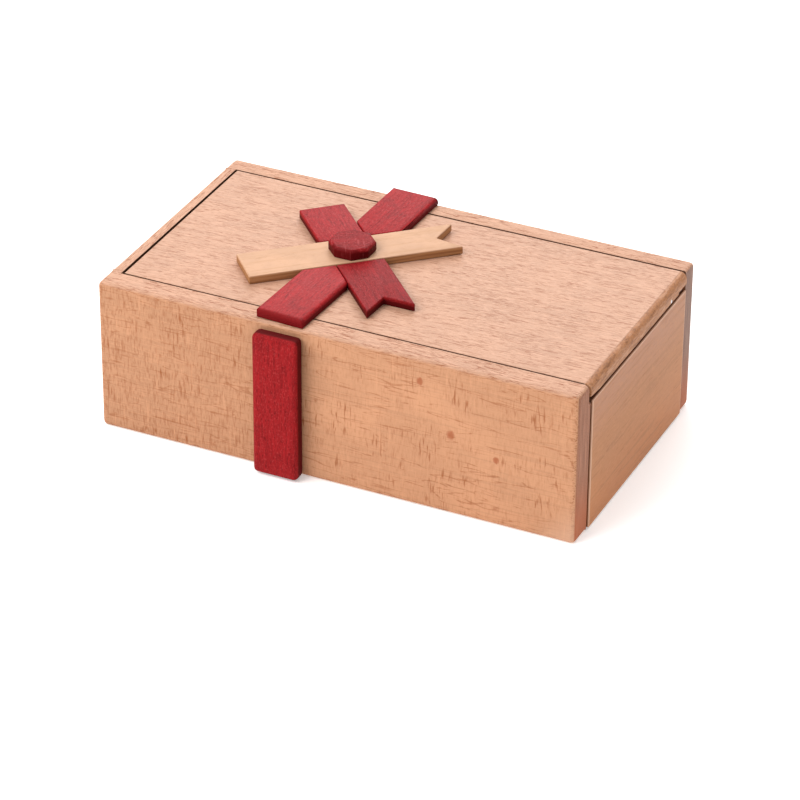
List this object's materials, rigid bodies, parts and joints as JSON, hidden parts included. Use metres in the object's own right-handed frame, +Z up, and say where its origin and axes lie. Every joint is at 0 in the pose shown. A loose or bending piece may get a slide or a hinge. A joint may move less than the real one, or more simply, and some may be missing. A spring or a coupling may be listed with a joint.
{
  "type": "wooden puzzle box",
  "caption": "Small beech gift box with a red and cream wooden bow: the bow's knot turns a lock bar, the lid swings up and the end panel is a hidden drawer.",
  "frame": {"origin": "centre of the whole object's footprint, on the face it stands on", "axes": "+X along the box towards the lid's hinge end and the drawer, -Y the front with the red strip, +Z up"},
  "size_m": [0.148, 0.09, 0.0529],
  "materials": {
    "beech": "planed beech, thin satin oil, short ray flecks",
    "beech_panel": "planed beech, a shade darker, satin oil",
    "red_wood": "red stained wood, fine grain, satin",
    "cream_wood": "pale cream wood, satin",
    "steel": "bright ground pin steel",
    "brass": "plain brass screw and washer"
  },
  "bodies": {
    "box": {"front_wall": "beech", "back_wall": "beech", "left_wall": "beech", "bottom_board": "beech", "partition": "beech", "bay_cover": "beech", "front_ribbon": "red_wood"},
    "lid": {"lid_board": "beech", "lid_stud": "steel", "hinge_pin_front": "steel", "hinge_pin_back": "steel", "ribbon_front": "red_wood", "ribbon_back": "red_wood", "bow_tail_upper": "red_wood", "bow_tail_lower": "red_wood", "cream_ribbon": "cream_wood"},
    "knot": {"bow_knot": "red_wood", "knot_dowel": "beech", "turn_bar": "beech", "knot_washer": "brass", "knot_screw": "brass"},
    "drawer": {"drawer_front": "beech_panel", "drawer_side_front": "beech", "drawer_side_back": "beech", "drawer_back": "beech", "drawer_floor": "beech"},
    "lock_pin": {"tilt_pin": "steel"}
  },
  "joints": [
    {"name": "lid_hinge", "type": "hinge", "parent": "box", "child": "lid", "pos_m": [0.0717, 0, 0.0447], "axis": [0, 1, 0], "range_deg": [0, 180]},
    {"name": "knot_turn", "type": "hinge", "parent": "lid", "child": "knot", "pos_m": [-0.01535, 0.0042, 0.0447], "axis": [0, 0, 1], "range_deg": [0, 90]},
    {"name": "drawer_slide", "type": "slide", "parent": "box", "child": "drawer", "axis": [1, 0, 0], "range_m": [0, 0.038]},
    {"name": "pin_slide", "type": "slide", "parent": "box", "child": "lock_pin", "axis": [0, 1, 0], "range_m": [0, 0.0038]}
  ]
}
